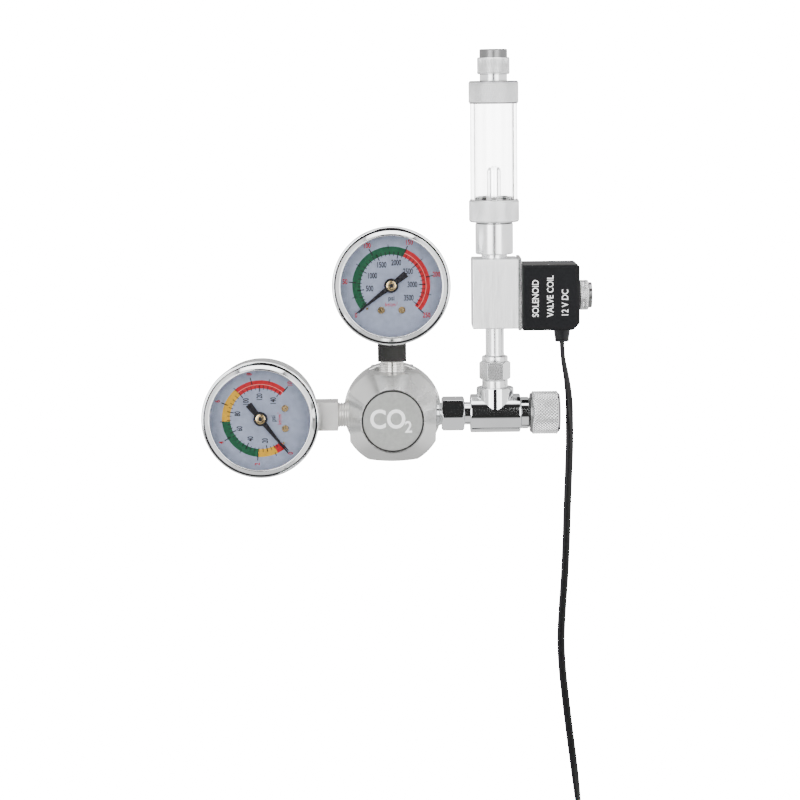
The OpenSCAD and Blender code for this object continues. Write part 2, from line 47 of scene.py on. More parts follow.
# ---- camera ----
# It looks a little down on the front from about 0.9 m away. Its lens is long, so that edges that
# run away from it stay nearly parallel.
camera_data = bpy.data.cameras.new("camera")
camera_data.lens = 106.1
camera = bpy.data.objects.new("camera", camera_data)
camera_turn = (
    Matrix.Rotation(math.radians(-0.24), 4, "Z")
    @ Matrix.Rotation(math.radians(90 - 7.88), 4, "X")
    @ Matrix.Rotation(math.radians(-0.62), 4, "Z")
)
camera.matrix_world = Matrix.Translation((-0.0009, -0.931, 0.130)) @ camera_turn
scene.collection.objects.link(camera)
scene.camera = camera


# ---- flat twin lead, with its coil ----
# Two stranded wires side by side in soft black PVC, 3 mm wide and 1.8 mm thick. It leaves the boot,
# hangs to the surface below and lies there as a neat coil, tied, and ends in the plug.
LEAD_WIDTH = 3.0
LEAD_THICKNESS = 1.8
FLOOR_Z = -182.0
COIL_CENTRE = (49.5, -10.0)
COIL_TURNS = 11.444
LAYER_END = 5.5
LAYER_RISE = 3.0
TAIL = 13.0
hanging = [
    (65.3, -31, 27.5), (65.8, -31, 20.5), (67.1, -31, 13), (68, -31, 5), (68.2, -31, -4),
    (68.2, -31, -13), (67.8, -31, -24), (67.3, -31, -37), (66.9, -31, -50), (66.2, -31, -65),
    (65.3, -31, -78), (64.8, -31, -90), (65.3, -31, -101), (66.5, -31, -113), (68, -31, -126),
    (69.5, -31, -138), (70.9, -31, -150), (71.9, -31, -160), (72.4, -30.4, -168),
    (72.5, -27.6, -175), (72.5, -22.5, -179.4), (72.5, -16.5, -180.5),
]


def through(points, parts):
    """Points on a smooth curve through the given points, with each span cut into parts."""
    ends = [points[0]] + points + [points[-1]]
    out = []
    for a, b, c, d in zip(ends, ends[1:], ends[2:], ends[3:]):
        for k in range(parts):
            t = k / parts
            out.append(
                0.5 * ((2 * b) + (c - a) * t + (2 * a - 5 * b + 4 * c - d) * t * t
                       + (3 * b - a - 3 * c + d) * t**3)
            )
    return out + [points[-1]]


def coil_point(turns):
    """The coil's centreline after a number of turns: inwards on the surface, then out on top."""
    rise = min(max((turns - LAYER_END) / 0.5, 0), 1)
    rise = rise * rise * (3 - 2 * rise)
    if turns < LAYER_END:
        radius = 23 - 1.9 * turns
    else:
        radius = 12.55 + 1.9 * max(turns - LAYER_END - 0.5, 0)
    angle = math.tau * turns
    return Vector((
        COIL_CENTRE[0] + radius * math.cos(angle),
        COIL_CENTRE[1] + radius * math.sin(angle),
        FLOOR_Z + 1.6 + LAYER_RISE * rise,
    ))


lead_path = through([Vector(p) for p in hanging], 4)[:-1]
hangs = len(lead_path)
lead_path += [coil_point(k / 28) for k in range(int(COIL_TURNS * 28) + 1)]
lead_path += [coil_point(COIL_TURNS)]
tail_angle = math.tau * COIL_TURNS
tail_way = Vector((-math.sin(tail_angle), math.cos(tail_angle), 0))
plug_place = lead_path[-1] + TAIL * tail_way
lead_path += [lead_path[-1] + TAIL * tail_way * k / 4 for k in range(1, 5)]


def rubbery(name, colour, roughness, grain, strength, gloss=0.5):
    """Moulded or extruded plastic: fine grain in the surface, and a slight change of shine."""
    material = bpy.data.materials.new(name)
    material.use_nodes = True
    tree = material.node_tree
    shader = tree.nodes["Principled BSDF"]
    shader.inputs["Specular IOR Level"].default_value = gloss
    where = tree.nodes.new("ShaderNodeTexCoord")
    noise = tree.nodes.new("ShaderNodeTexNoise")
    noise.inputs["Scale"].default_value = grain
    noise.inputs["Detail"].default_value = 4
    tree.links.new(where.outputs["Object"], noise.inputs["Vector"])
    tint = tree.nodes.new("ShaderNodeValToRGB")
    tint.color_ramp.elements[0].color = [0.8 * c for c in colour] + [1]
    tint.color_ramp.elements[1].color = [min(1.25 * c, 1) for c in colour] + [1]
    tree.links.new(noise.outputs["Fac"], tint.inputs["Fac"])
    tree.links.new(tint.outputs["Color"], shader.inputs["Base Color"])
    shine = tree.nodes.new("ShaderNodeMapRange")
    shine.inputs["To Min"].default_value = roughness - 0.08
    shine.inputs["To Max"].default_value = roughness + 0.08
    tree.links.new(noise.outputs["Fac"], shine.inputs["Value"])
    tree.links.new(shine.outputs["Result"], shader.inputs["Roughness"])
    bump = tree.nodes.new("ShaderNodeBump")
    bump.inputs["Strength"].default_value = strength
    bump.inputs["Distance"].default_value = 0.0001
    tree.links.new(noise.outputs["Fac"], bump.inputs["Height"])
    tree.links.new(bump.outputs["Normal"], shader.inputs["Normal"])
    return material


def piece(bm, name, place, finish, body="root", stands_for=(), crease=35, weighted=True):
    """Makes a modelled shape, in millimetres, an object in its place that rides on a body."""
    bmesh.ops.transform(bm, matrix=Matrix.Scale(MM, 4) @ place, verts=bm.verts)
    mesh = bpy.data.meshes.new(name)
    bm.to_mesh(mesh)
    bm.free()
    mesh.shade_smooth()
    mesh.set_sharp_from_angle(angle=math.radians(crease))
    for material in finish if isinstance(finish, list) else [finish]:
        mesh.materials.append(material)
    obj = bpy.data.objects.new(name, mesh)
    scene.collection.objects.link(obj)
    if weighted:
        fair = obj.modifiers.new("fair", "WEIGHTED_NORMAL")
        fair.keep_sharp = True
    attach(obj, body)
    if stands_for:
        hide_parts(*stands_for)
    return obj


def lead_mesh(path):
    """The two-lobed section of a twin lead, carried along the path. It hangs edge-on at the boot,
    turns flat to the front, and stands on edge in the coil."""
    bm = bmesh.new()
    lobe = LEAD_THICKNESS / 2
    spread = LEAD_WIDTH / 2 - lobe
    rings = []
    for i, point in enumerate(path):
        along = (path[min(i + 1, len(path) - 1)] - path[max(i - 1, 0)]).normalized()
        flat = min(max((24 - point.z) / 30, 0), 1)
        upright = min(max((-135 - point.z) / 30, 0), 1)
        hung = (1 - upright) * Vector((flat, 1 - flat, 0))
        wide = hung + upright * Vector((0, 1 if i < hangs else 0, 1))
        wide = (wide - wide.dot(along) * along).normalized()
        thin = along.cross(wide)
        ring = []
        for side in (1, -1):
            for k in range(7):
                a = math.radians(-78 + 26 * k)
                across = side * (spread + lobe * math.cos(a))
                ring.append(bm.verts.new(point + across * wide + side * lobe * math.sin(a) * thin))
        rings.append([bm.edges.new(pair) for pair in zip(ring, ring[1:] + ring[:1])])
    for a, b in zip(rings, rings[1:]):
        bmesh.ops.bridge_loops(bm, edges=a + b)
    for end in (rings[0], rings[-1]):
        bmesh.ops.edgeloop_fill(bm, edges=end)
    bmesh.ops.recalc_face_normals(bm, faces=bm.faces)
    return bm


pvc = rubbery("black_pvc", (0.004, 0.004, 0.0045), 0.3, 900, 0.2, 0.2)
lead = piece(
    lead_mesh(lead_path), "lead", Matrix(), pvc,
    stands_for=["cord_lead", "cord_coil"], weighted=False,
)


# ---- coil of the lead: tie, boot and plug ----
# A black hook-and-loop tie holds the coil. The boot is a short tapered rubber sleeve in the coil
# housing's lower face. The plug has a soft ribbed grip and a plated barrel that takes a 2.1 mm pin.
PORT_Y = -31.0
BOOT_TOP = (65.3, PORT_Y, 27.5)
TIE_TURN = math.radians(250)
TIE_REACH = 17.75


def spun(outline, steps=96, closed=False):
    """A shape turned round the z axis from (radius, height) points, as on a lathe."""
    bm = bmesh.new()
    row = [bm.verts.new((r, 0, z)) for r, z in outline]
    edges = [bm.edges.new(pair) for pair in zip(row, row[1:])]
    if closed:
        edges.append(bm.edges.new((row[-1], row[0])))
    bmesh.ops.spin(
        bm, geom=row + edges, cent=(0, 0, 0), axis=(0, 0, 1), angle=math.tau, steps=steps,
        use_merge=True,
    )
    bmesh.ops.remove_doubles(bm, verts=bm.verts, dist=0.0005)
    bmesh.ops.recalc_face_normals(bm, faces=bm.faces)
    return bm


def metal(name, colour, roughness, ripple=0.05, turned=None, stretch=0.7, grooves=None, sanded=1):
    """Metal with a slight change of shine and a faint ripple. turned is the (centre, axis) of the
    lathe that cut it: its fine rings stretch each highlight across themselves. grooves are the
    radii of a knurl's bottom and top; the base colour is darkened towards the bottoms as painted
    shade in the knurl's valleys. sanded draws the ripple out into upright streaks, that many times
    longer than wide."""
    material = bpy.data.materials.new(name)
    material.use_nodes = True
    tree = material.node_tree
    shader = tree.nodes["Principled BSDF"]
    shader.inputs["Metallic"].default_value = 1
    where = tree.nodes.new("ShaderNodeTexCoord")
    noise = tree.nodes.new("ShaderNodeTexNoise")
    noise.inputs["Scale"].default_value = 70
    noise.inputs["Detail"].default_value = 3
    drawn = tree.nodes.new("ShaderNodeMapping")
    drawn.inputs["Scale"].default_value = (sanded, sanded, 1)
    tree.links.new(where.outputs["Object"], drawn.inputs["Vector"])
    tree.links.new(drawn.outputs["Vector"], noise.inputs["Vector"])
    tint = tree.nodes.new("ShaderNodeValToRGB")
    tint.color_ramp.elements[0].position = 0.3
    tint.color_ramp.elements[1].position = 0.7
    tint.color_ramp.elements[0].color = [0.92 * c for c in colour] + [1]
    tint.color_ramp.elements[1].color = [min(1.04 * c, 1) for c in colour] + [1]
    tree.links.new(noise.outputs["Fac"], tint.inputs["Fac"])
    tree.links.new(tint.outputs["Color"], shader.inputs["Base Color"])
    shine = tree.nodes.new("ShaderNodeMapRange")
    shine.inputs["To Min"].default_value = 0.75 * roughness
    shine.inputs["To Max"].default_value = 1.25 * roughness
    tree.links.new(noise.outputs["Fac"], shine.inputs["Value"])
    tree.links.new(shine.outputs["Result"], shader.inputs["Roughness"])
    bump = tree.nodes.new("ShaderNodeBump")
    bump.inputs["Strength"].default_value = ripple
    bump.inputs["Distance"].default_value = 0.0003
    tree.links.new(noise.outputs["Fac"], bump.inputs["Height"])
    tree.links.new(bump.outputs["Normal"], shader.inputs["Normal"])
    if turned:
        centre, axis = turned
        offset = tree.nodes.new("ShaderNodeVectorMath")
        offset.operation = "SUBTRACT"
        offset.inputs[1].default_value = [MM * c for c in centre]
        tree.links.new(where.outputs["Object"], offset.inputs[0])
        along = tree.nodes.new("ShaderNodeVectorMath")
        along.operation = "DOT_PRODUCT"
        along.inputs[1].default_value = axis
        tree.links.new(offset.outputs["Vector"], along.inputs[0])
        round_it = tree.nodes.new("ShaderNodeVectorMath")
        round_it.operation = "CROSS_PRODUCT"
        round_it.inputs[1].default_value = axis
        tree.links.new(offset.outputs["Vector"], round_it.inputs[0])
        radius = tree.nodes.new("ShaderNodeVectorMath")
        radius.operation = "LENGTH"
        tree.links.new(round_it.outputs["Vector"], radius.inputs[0])
        # Painted shade: the base colour is multiplied down to 0.22 at the knurl's groove bottoms
        # and rises to full at the crests.
        if grooves:
            groove_shade = tree.nodes.new("ShaderNodeMapRange")
            groove_shade.inputs["From Min"].default_value = MM * grooves[0]
            groove_shade.inputs["From Max"].default_value = MM * grooves[1]
            groove_shade.inputs["To Min"].default_value = 0.22
            tree.links.new(radius.outputs["Value"], groove_shade.inputs["Value"])
            shaded_grooves = tree.nodes.new("ShaderNodeMix")
            shaded_grooves.data_type = "RGBA"
            shaded_grooves.blend_type = "MULTIPLY"
            shaded_grooves.inputs["Factor"].default_value = 1
            tree.links.new(tint.outputs["Color"], shaded_grooves.inputs["A"])
            tree.links.new(groove_shade.outputs["Result"], shaded_grooves.inputs["B"])
            tree.links.new(shaded_grooves.outputs["Result"], shader.inputs["Base Color"])
        ring_place = tree.nodes.new("ShaderNodeCombineXYZ")
        tree.links.new(radius.outputs["Value"], ring_place.inputs["X"])
        tree.links.new(along.outputs["Value"], ring_place.inputs["Y"])
        rings = tree.nodes.new("ShaderNodeTexNoise")
        rings.inputs["Scale"].default_value = 4000
        rings.inputs["Detail"].default_value = 2
        tree.links.new(ring_place.outputs["Vector"], rings.inputs["Vector"])
        cut = tree.nodes.new("ShaderNodeBump")
        cut.inputs["Strength"].default_value = 0.12
        cut.inputs["Distance"].default_value = 0.00005
        tree.links.new(rings.outputs["Fac"], cut.inputs["Height"])
        tree.links.new(bump.outputs["Normal"], cut.inputs["Normal"])
        tree.links.new(cut.outputs["Normal"], shader.inputs["Normal"])
        tangent = tree.nodes.new("ShaderNodeVectorMath")
        tangent.operation = "NORMALIZE"
        tree.links.new(round_it.outputs["Vector"], tangent.inputs[0])
        tree.links.new(tangent.outputs["Vector"], shader.inputs["Tangent"])
        shader.inputs["Anisotropic"].default_value = stretch
        shader.inputs["Anisotropic Rotation"].default_value = 0.25
    return material


def rounded_box(across, deep, radius):
    """The outline of a rectangle with round corners, centred on the origin."""
    points = []
    for k in range(4):
        x = (across / 2 - radius) * (1, -1, -1, 1)[k]
        y = (deep / 2 - radius) * (1, 1, -1, -1)[k]
        for step in range(7):
            angle = math.radians(90 * k + 15 * step)
            points.append((x + radius * math.cos(angle), y + radius * math.sin(angle)))
    return points


tie_band = bmesh.new()
outside, inside = rounded_box(13.8, 6.3, 1.6), rounded_box(12.8, 5.3, 1.2)
loops = []
for outline, z in ((outside, -2.5), (outside, 2.5), (inside, 2.5), (inside, -2.5)):
    ring = [tie_band.verts.new((x, y, z)) for x, y in outline]
    loops.append([tie_band.edges.new(pair) for pair in zip(ring, ring[1:] + ring[:1])])
for first, second in zip(loops, loops[1:] + loops[:1]):
    bmesh.ops.bridge_loops(tie_band, edges=first + second)
bmesh.ops.recalc_face_normals(tie_band, faces=tie_band.faces)
tie_centre = Matrix.Translation((
    COIL_CENTRE[0] + TIE_REACH * math.cos(TIE_TURN),
    COIL_CENTRE[1] + TIE_REACH * math.sin(TIE_TURN),
    FLOOR_Z + 3.2,
))
tie = piece(
    tie_band, "tie",
    tie_centre @ Matrix.Rotation(TIE_TURN, 4, "Z") @ Matrix.Rotation(math.pi / 2, 4, "X"),
    rubbery("tie_fabric", (0.02, 0.02, 0.022), 0.85, 1500, 0.9),
)
boot = piece(
    spun([
        (0, 0.25), (1.7, 0.25), (1.9, 0), (2.45, 0), (2.7, 0.2), (2.75, 0.7), (2.6, 0.95),
        (2.72, 1.15), (3.2, 4.4), (3.34, 4.9), (3.34, 5.3), (0, 5.3),
    ], 48),
    "boot", Matrix.Translation(BOOT_TOP),
    rubbery("boot_rubber", (0.008, 0.008, 0.009), 0.36, 700, 0.2, 0.25),
    stands_for=["cable_boot"],
)
plug_frame = Matrix.Translation(plug_place) @ Matrix.Rotation(tail_angle + math.pi / 2, 4, "Z")
plug_frame = plug_frame @ Matrix.Rotation(math.pi / 2, 4, "Y")
ribs = [(4.5 if k % 2 else 4.05, 11.2 + 0.55 * k) for k in range(19)]
plug_grip = piece(
    spun(
        [(0, 0), (1.8, 0), (2.0, 0.4), (2.6, 7.9), (3.9, 8.2), (4.4, 9), (4.5, 9.6), (4.5, 10.9)]
        + ribs + [(4.5, 21.6), (4.5, 24.2), (4.1, 25), (0, 25)], 48,
    ),
    "plug_grip", plug_frame, pvc, stands_for=["dc_plug"],
)
plug_barrel = piece(
    spun([
        (0, 26), (1.05, 26), (1.05, 34.2), (1.3, 34.5), (2.4, 34.5), (2.55, 34.4), (2.7, 34.1),
        (2.75, 33), (2.75, 25), (2, 24.5), (0, 24.5),
    ], 48),
    "plug_barrel", plug_frame, metal("plug_plating", (0.75, 0.74, 0.7), 0.2),
)


# ---- floor and light ----
# A pale paper floor that curves up into a wall, two tall soft lights at the front with a dark gap
# between them, and one above. The room's ceiling and sides are bright and the rest is dark, so that
# the metal shows. Seen through the clear tube it is white, with a dark strip at each side.
paper = bpy.data.materials.new("pale_paper")
paper.use_nodes = True
paper_shader = paper.node_tree.nodes["Principled BSDF"]
paper_shader.inputs["Base Color"].default_value = (0.93, 0.93, 0.93, 1)
paper_shader.inputs["Roughness"].default_value = 0.9
paper_shader.inputs["Emission Color"].default_value = (1, 1, 1, 1)
paper_shader.inputs["Emission Strength"].default_value = 18
FLOOR_R = 1500
CURVE_R = 900
WALL_TOP = 2600
curve_angles = [math.radians(a) for a in range(10, 91, 10)]
sweep = spun(
    [(0, 0), (FLOOR_R, 0)]
    + [(FLOOR_R + CURVE_R * math.sin(a), CURVE_R - CURVE_R * math.cos(a)) for a in curve_angles]
    + [(FLOOR_R + CURVE_R, WALL_TOP)], 128,
)
sweep_place = Matrix.Scale(MM, 4) @ Matrix.Translation((0, 0, FLOOR_Z))
bmesh.ops.transform(sweep, matrix=sweep_place, verts=sweep.verts)
sweep_mesh = bpy.data.meshes.new("floor")
sweep.to_mesh(sweep_mesh)
sweep.free()
sweep_mesh.shade_smooth()
sweep_mesh.materials.append(paper)
floor = bpy.data.objects.new("floor", sweep_mesh)
floor.visible_glossy = False
floor.visible_diffuse = False
floor.visible_shadow = False
floor.visible_transmission = False
scene.collection.objects.link(floor)


def softbox(name, place, size, watts):
    """A rectangular soft light that faces the object."""
    data = bpy.data.lights.new(name, "AREA")
    data.shape = "RECTANGLE"
    data.size, data.size_y = size
    data.energy = watts
    light = bpy.data.objects.new(name, data)
    aim = Vector((0.01, -0.03, 0.01)) - Vector(place)
    turn = aim.to_track_quat("-Z", "Y").to_matrix().to_4x4()
    light.matrix_world = Matrix.Translation(place) @ turn
    light.visible_camera = False
    scene.collection.objects.link(light)


softbox("left_light", (-0.54, -1.15, 0.3), (0.72, 1.1), 16)
softbox("right_light", (0.54, -1.15, 0.3), (0.72, 1.1), 14)
softbox("top_light", (0, -0.1, 1.3), (1.3, 1.1), 13)

world = bpy.data.worlds.new("studio")
scene.world = world
world.use_nodes = True
sky = world.node_tree
backing = sky.nodes["Background"]
way = sky.nodes.new("ShaderNodeTexCoord")
split = sky.nodes.new("ShaderNodeSeparateXYZ")
sky.links.new(way.outputs["Generated"], split.inputs["Vector"])


def glow(axis, start, end, strength):
    """Light that rises from nothing to its strength between two values of the direction's axis."""
    rise = sky.nodes.new("ShaderNodeMapRange")
    rise.interpolation_type = "SMOOTHSTEP"
    rise.inputs["From Min"].default_value = start
    rise.inputs["From Max"].default_value = end
    rise.inputs["To Max"].default_value = strength
    sky.links.new(split.outputs[axis], rise.inputs["Value"])
    return rise.outputs["Result"]


def brighter(a, b):
    """The brighter of two lights in each direction."""
    most = sky.nodes.new("ShaderNodeMath")
    most.operation = "MAXIMUM"
    sky.links.new(a, most.inputs[0])
    sky.links.new(b, most.inputs[1])
    return most.outputs["Value"]


ceiling = glow("Z", 0.82, 0.95, 2.2)
ground = glow("Z", -0.3, -0.48, 1.0)
behind = glow("Y", 0.1, 0.5, 0.65)
right_wall = glow("X", 0.4, 0.6, 1.8)
left_wall = glow("X", -0.4, -0.6, 1.6)
walls = brighter(brighter(left_wall, right_wall), behind)
room = sky.nodes.new("ShaderNodeMath")
room.inputs[1].default_value = 0.03
sky.links.new(brighter(brighter(ceiling, ground), walls), room.inputs[0])
across = sky.nodes.new("ShaderNodeMath")
across.operation = "ABSOLUTE"
sky.links.new(split.outputs["X"], across.inputs[0])
strip = sky.nodes.new("ShaderNodeMath")
strip.operation = "COMPARE"
strip.inputs[1].default_value = 0.82
strip.inputs[2].default_value = 0.125
sky.links.new(across.outputs["Value"], strip.inputs[0])
beyond = sky.nodes.new("ShaderNodeMapRange")
beyond.inputs["To Min"].default_value = 14
beyond.inputs["To Max"].default_value = 0.03
sky.links.new(strip.outputs["Value"], beyond.inputs["Value"])
seen = sky.nodes.new("ShaderNodeLightPath")
through_glass = sky.nodes.new("ShaderNodeMix")
sky.links.new(seen.outputs["Is Transmission Ray"], through_glass.inputs["Factor"])
sky.links.new(room.outputs["Value"], through_glass.inputs["A"])
sky.links.new(beyond.outputs["Result"], through_glass.inputs["B"])
sky.links.new(through_glass.outputs["Result"], backing.inputs["Strength"])
backing.inputs["Color"].default_value = (1, 1, 1, 1)


# ---- regulator body ----
# Machined from a round brass bar and satin plated: a cone at the front, a flange at the back, and
# four milled flats, three with a port. The front carries a spigot lip round the cap's seal.
BODY_R = 19.0
BODY_FLAT = 16.5
NOSE_Y = -50.5


def joined(*shapes):
    """Several shapes as one."""
    whole = bmesh.new()
    for shape in shapes:
        mesh = bpy.data.meshes.new("part")
        shape.to_mesh(mesh)
        shape.free()
        whole.from_mesh(mesh)
        bpy.data.meshes.remove(mesh)
    return whole


def along_y(y):
    """The place of a shape whose local z runs along +Y, on the body's axis."""
    return Matrix.Translation((0, y, 0)) @ Matrix.Rotation(-math.pi / 2, 4, "X")


def cut_flats(bm, reach, turns):
    """Mills a flat at that distance from the z axis, facing each of those angles in degrees."""
    for turn in turns:
        face_way = Vector((math.cos(math.radians(turn)), math.sin(math.radians(turn)), 0))
        cut = bmesh.ops.bisect_plane(
            bm, geom=bm.verts[:] + bm.edges[:] + bm.faces[:], dist=0.0001,
            plane_co=reach * face_way, plane_no=face_way, clear_outer=True,
        )
        rim = [e for e in cut["geom_cut"] if isinstance(e, bmesh.types.BMEdge) and e.is_boundary]
        bmesh.ops.holes_fill(bm, edges=rim)
    return bm


def ease(bm, width, segments=2, limit=25):
    """Breaks the edges that are sharper than the limit."""
    sharp = [e for e in bm.edges if e.is_manifold and e.calc_face_angle() > math.radians(limit)]
    bmesh.ops.bevel(
        bm, geom=sharp, offset=width, segments=segments, affect="EDGES", profile=0.5,
        clamp_overlap=True, material=-1,
    )
    return bm


satin_body = metal("satin_body", (0.6, 0.6, 0.59), 0.26, 0.04, ((0, 0, 0), (0, 1, 0)), 0.8)
body_front = cut_flats(
    spun([
        (0, 1.6), (11.65, 1.6), (11.72, 0.2), (11.85, 0), (12.2, 0), (12.5, 0.4),
        (BODY_R - 0.12, 12.3), (BODY_R, 12.6), (BODY_R, 26.6), (0, 26.6),
    ], 144),
    BODY_FLAT, (0, 90, 180, 270),
)
body_flange = spun([
    (0, 26.5), (BODY_R - 0.5, 26.5), (BODY_R - 0.15, 26.65), (BODY_R, 27), (BODY_R, 33),
    (BODY_R - 0.15, 33.35), (BODY_R - 0.5, 33.5), (0, 33.5),
], 144)
piece(
    joined(body_front, body_flange), "body_shell", along_y(NOSE_Y), satin_body,
    stands_for=["regulator_body"], crease=20,
)


# ---- front cap ----
# A satin grey disc in a black seal closes the spring chamber. It has a plain white mark, the
# formula of the gas, printed on it.
def words(text, height, narrow=1.0, bold=0.0, align="CENTER"):
    """A line of print on the origin, that high in millimetres."""
    curve = bpy.data.curves.new("words", "FONT")
    curve.body = text
    curve.align_x = align
    curve.align_y = "CENTER"
    curve.size = height / 0.72
    curve.extrude = 0.01
    curve.offset = bold * height
    curve.resolution_u = 4
    holder = bpy.data.objects.new("words", curve)
    mesh = bpy.data.meshes.new_from_object(holder)
    bm = bmesh.new()
    bm.from_mesh(mesh)
    bpy.data.objects.remove(holder)
    bpy.data.curves.remove(curve)
    bpy.data.meshes.remove(mesh)
    bmesh.ops.transform(bm, matrix=Matrix.Diagonal((narrow, 1, 1, 1)), verts=bm.verts)
    return bm


def moved(bm, x, y, z, turn=0):
    """The shape turned about z by that many degrees, then moved."""
    place = Matrix.Translation((x, y, z)) @ Matrix.Rotation(math.radians(turn), 4, "Z")
    bmesh.ops.transform(bm, matrix=place, verts=bm.verts)
    return bm


facing = Matrix.Rotation(math.pi / 2, 4, "X")
cap_face = Matrix.Translation((0, NOSE_Y - 0.1, 0)) @ facing
grey_cap = rubbery("grey_cap", (0.26, 0.265, 0.255), 0.4, 900, 0.2, 0.4)
piece(
    spun([
        (0, -3.2), (9.7, -3.2), (9.7, -1.5), (11.1, -1.5), (11.2, -0.35), (11.1, -0.12),
        (10.85, -0.03), (10.2, -0.03), (0, -0.03),
    ], 96),
    "cap_disc", cap_face, grey_cap, stands_for=["front_cap"], crease=20,
)
white_ink = rubbery("white_ink", (0.95, 0.95, 0.95), 0.5, 800, 0.1)
formula = joined(
    moved(words("CO", 7.2, 0.9, 0.03), -1.9, 0.5, -0.01),
    moved(words("2", 4.4, 0.9, 0.03), 5.9, -2.4, -0.01),
)
piece(formula, "cap_mark", cap_face, white_ink)


# ---- inlet ----
# The chromed hexagon nut turns freely on the nipple, whose flange pulls the nylon washer against
# the cylinder's valve. It is behind the body.
def eased(node, name, width, finish, body="root", limit=30):
    """The CAD solid with its sharp edges broken, as a piece that stands for it."""
    bm = bmesh.new()
    bm.from_mesh(frame["nodes"][node].data)
    bmesh.ops.transform(bm, matrix=Matrix.Scale(1 / MM, 4), verts=bm.verts)
    bmesh.ops.remove_doubles(bm, verts=bm.verts, dist=0.002)
    bmesh.ops.dissolve_limit(bm, angle_limit=math.radians(1), verts=bm.verts, edges=bm.edges)
    ease(bm, width, 2, limit)
    return piece(bm, name, Matrix(), finish, body=body, stands_for=[node])


chrome = metal("chrome", (0.8, 0.81, 0.82), 0.07, 0.06)
eased("inlet_nut", "inlet_hexagon", 0.25, chrome, body="inlet_nut")


# ---- gauges ----
# Two 45 mm gauges with pressed steel cases and rolled rings, both chromed, a flat window, and a
# printed grey-blue dial. The black pointers have a brass boss. The left one lies on its side.
GAUGE_REACH = 50.5
PRINT_Z = 8.41
ZONE_INNER, ZONE_OUTER = 11.7, 14.8
KG_PER_PSI = 0.0703
GREEN, RED, YELLOW, BLACK, PALE = range(5)


def plate(outline, z, height):
    """A flat plate of that outline, from z upwards."""
    bm = bmesh.new()
    face = bm.faces.new([bm.verts.new((x, y, z)) for x, y in outline])
    grown = bmesh.ops.extrude_face_region(bm, geom=[face])
    top = [v for v in grown["geom"] if isinstance(v, bmesh.types.BMVert)]
    bmesh.ops.translate(bm, verts=top, vec=(0, 0, height))
    bmesh.ops.recalc_face_normals(bm, faces=bm.faces)
    return bm


def knurled(bm, reach, low, high, count, pitch, depth):
    """Presses a diamond knurl into the wall at that radius, between two heights."""
    def saw(x):
        return 1 - abs(2 * (x - math.floor(x)) - 1)

    for v in bm.verts:
        radius = math.hypot(v.co.x, v.co.y)
        if abs(radius - reach) > 0.01 or not low <= v.co.z <= high:
            continue
        around = count * math.atan2(v.co.y, v.co.x) / math.tau
        along = v.co.z / pitch
        crest = min(saw(around + along), saw(around - along))
        v.co.xy *= (reach - depth * (1 - crest)) / reach
    return bm


def band(inner, outer, start, end, z, deep=0.02):
    """A printed arc between two radii and two angles in degrees."""
    steps = max(int(abs(end - start) / 3), 1)
    angles = [math.radians(start + (end - start) * k / steps) for k in range(steps + 1)]
    outline = [(outer * math.cos(a), outer * math.sin(a)) for a in angles]
    outline += [(inner * math.cos(a), inner * math.sin(a)) for a in reversed(angles)]
    return plate(outline, z, deep)


def tick(inner, outer, angle, width, z):
    """A printed stroke that points to the dial's centre."""
    outline = [(inner, -width / 2), (outer, -width / 2), (outer, width / 2), (inner, width / 2)]
    return moved(plate(outline, 0, 0.02), 0, 0, z, angle)


def inked(bm, ink):
    """The shape printed in that one of the dial's inks."""
    for face in bm.faces:
        face.material_index = ink
    return bm


inks = [
    rubbery("green_ink", (0.002, 0.06, 0.024), 0.5, 800, 0.1, 0.2),
    rubbery("red_ink", (0.36, 0.004, 0.01), 0.5, 800, 0.1, 0.2),
    rubbery("yellow_ink", (0.5, 0.27, 0.01), 0.5, 800, 0.1, 0.2),
    rubbery("black_ink", (0.006, 0.006, 0.008), 0.5, 800, 0.1, 0.2),
    rubbery("pale_line", (0.62, 0.2, 0.18), 0.5, 800, 0.1),
]


